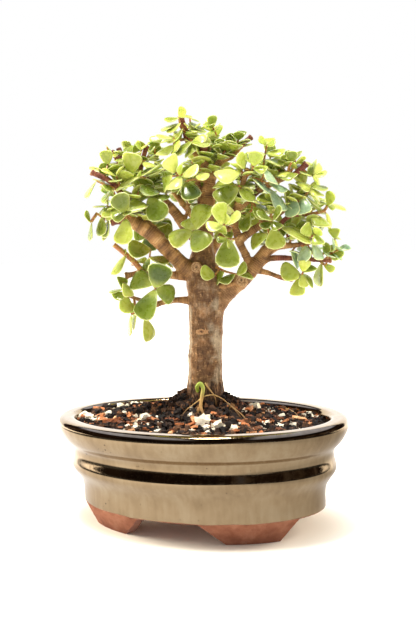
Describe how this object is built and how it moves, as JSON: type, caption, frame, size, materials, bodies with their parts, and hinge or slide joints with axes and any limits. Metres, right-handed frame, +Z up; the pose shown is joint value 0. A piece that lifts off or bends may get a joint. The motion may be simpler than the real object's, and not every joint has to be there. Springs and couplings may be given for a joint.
{
  "type": "dwarf jade bonsai",
  "caption": "Small tree with a thick trunk, pruned limbs and fleshy round leaves, growing in soil in an oval glazed pot on corner feet.",
  "frame": {"origin": "on the surface that the pot stands on, under the middle of the pot", "axes": "+Z up, X along the pot's long axis, +Y away from the side that the tree is trained to be seen from"},
  "size_m": [0.2028, 0.144, 0.2749],
  "materials": {
    "pot_glaze": "gloss",
    "drain_screen": "matte",
    "soil": "matte",
    "perlite": "matte",
    "bark_chip": "matte",
    "bark": "matte",
    "green_root": "satin",
    "leaf_dark": "satin",
    "leaf_mid": "satin",
    "leaf_light": "satin",
    "leaf_bright": "satin",
    "leaf_blue": "satin"
  },
  "bodies": {
    "root": {"pot": "pot_glaze", "drain_screen_left": "drain_screen", "drain_screen_right": "drain_screen", "soil": "soil", "perlite_grain_left": "perlite", "perlite_grain_front": "perlite", "perlite_grain_right": "perlite", "bark_chip_front": "bark_chip", "trunk_and_branches": "bark", "green_root": "green_root", "shoot_front_cluster": "leaf_mid", "shoot_front_bright": "leaf_bright", "shoot_front_pale": "leaf_mid", "shoot_trunk_side": "leaf_mid", "shoot_limb_rosette": "leaf_bright", "shoot_lower_right_cluster": "leaf_light", "shoot_blue_right": "leaf_blue", "shoot_right_end_low": "leaf_light", "shoot_right_end": "leaf_light", "shoot_right_rosettes": "leaf_bright", "shoot_red_stem_right": "leaf_light", "shoot_silver_right": "leaf_blue", "shoot_orange_twigs_right": "leaf_light", "shoot_upper_right_tip": "leaf_bright", "shoot_upper_right_stub": "leaf_light", "shoot_upper_mid_tip": "leaf_bright", "shoot_pale_upper": "leaf_bright", "shoot_limb_b_cluster": "leaf_mid", "shoot_blue_long": "leaf_blue", "shoot_behind_limb_c": "leaf_mid", "shoot_top_left": "leaf_light", "shoot_top_right": "leaf_mid", "shoot_below_top_left": "leaf_bright", "shoot_below_top_right": "leaf_light", "shoot_cream_front": "leaf_bright", "shoot_dark_round_front": "leaf_dark", "shoot_left_stub_tuft": "leaf_light", "shoot_pale_shield": "leaf_light", "shoot_left_dark_pair": "leaf_dark", "shoot_left_top_tuft": "leaf_bright", "shoot_long_pale_pair": "leaf_bright", "shoot_left_front_fan": "leaf_mid", "shoot_far_left_tip": "leaf_light", "shoot_left_end": "leaf_mid", "shoot_left_hanging_round": "leaf_dark", "shoot_pendant_left": "leaf_dark", "shoot_lowest_left": "leaf_light", "shoot_lowest_left_drop": "leaf_light", "shoot_left_middle": "leaf_mid", "shoot_olive_stem_left": "leaf_mid", "shoot_back_low": "leaf_mid", "shoot_back_middle": "leaf_light", "shoot_back_right": "leaf_mid", "shoot_back_left": "leaf_mid", "shoot_back_top": "leaf_light", "shoot_back_right_low": "leaf_mid", "shoot_back_left_low": "leaf_mid", "shoot_back_crown": "leaf_mid", "shoot_back_side": "leaf_light", "shoot_back_inner": "leaf_dark"}
  },
  "joints": []
}
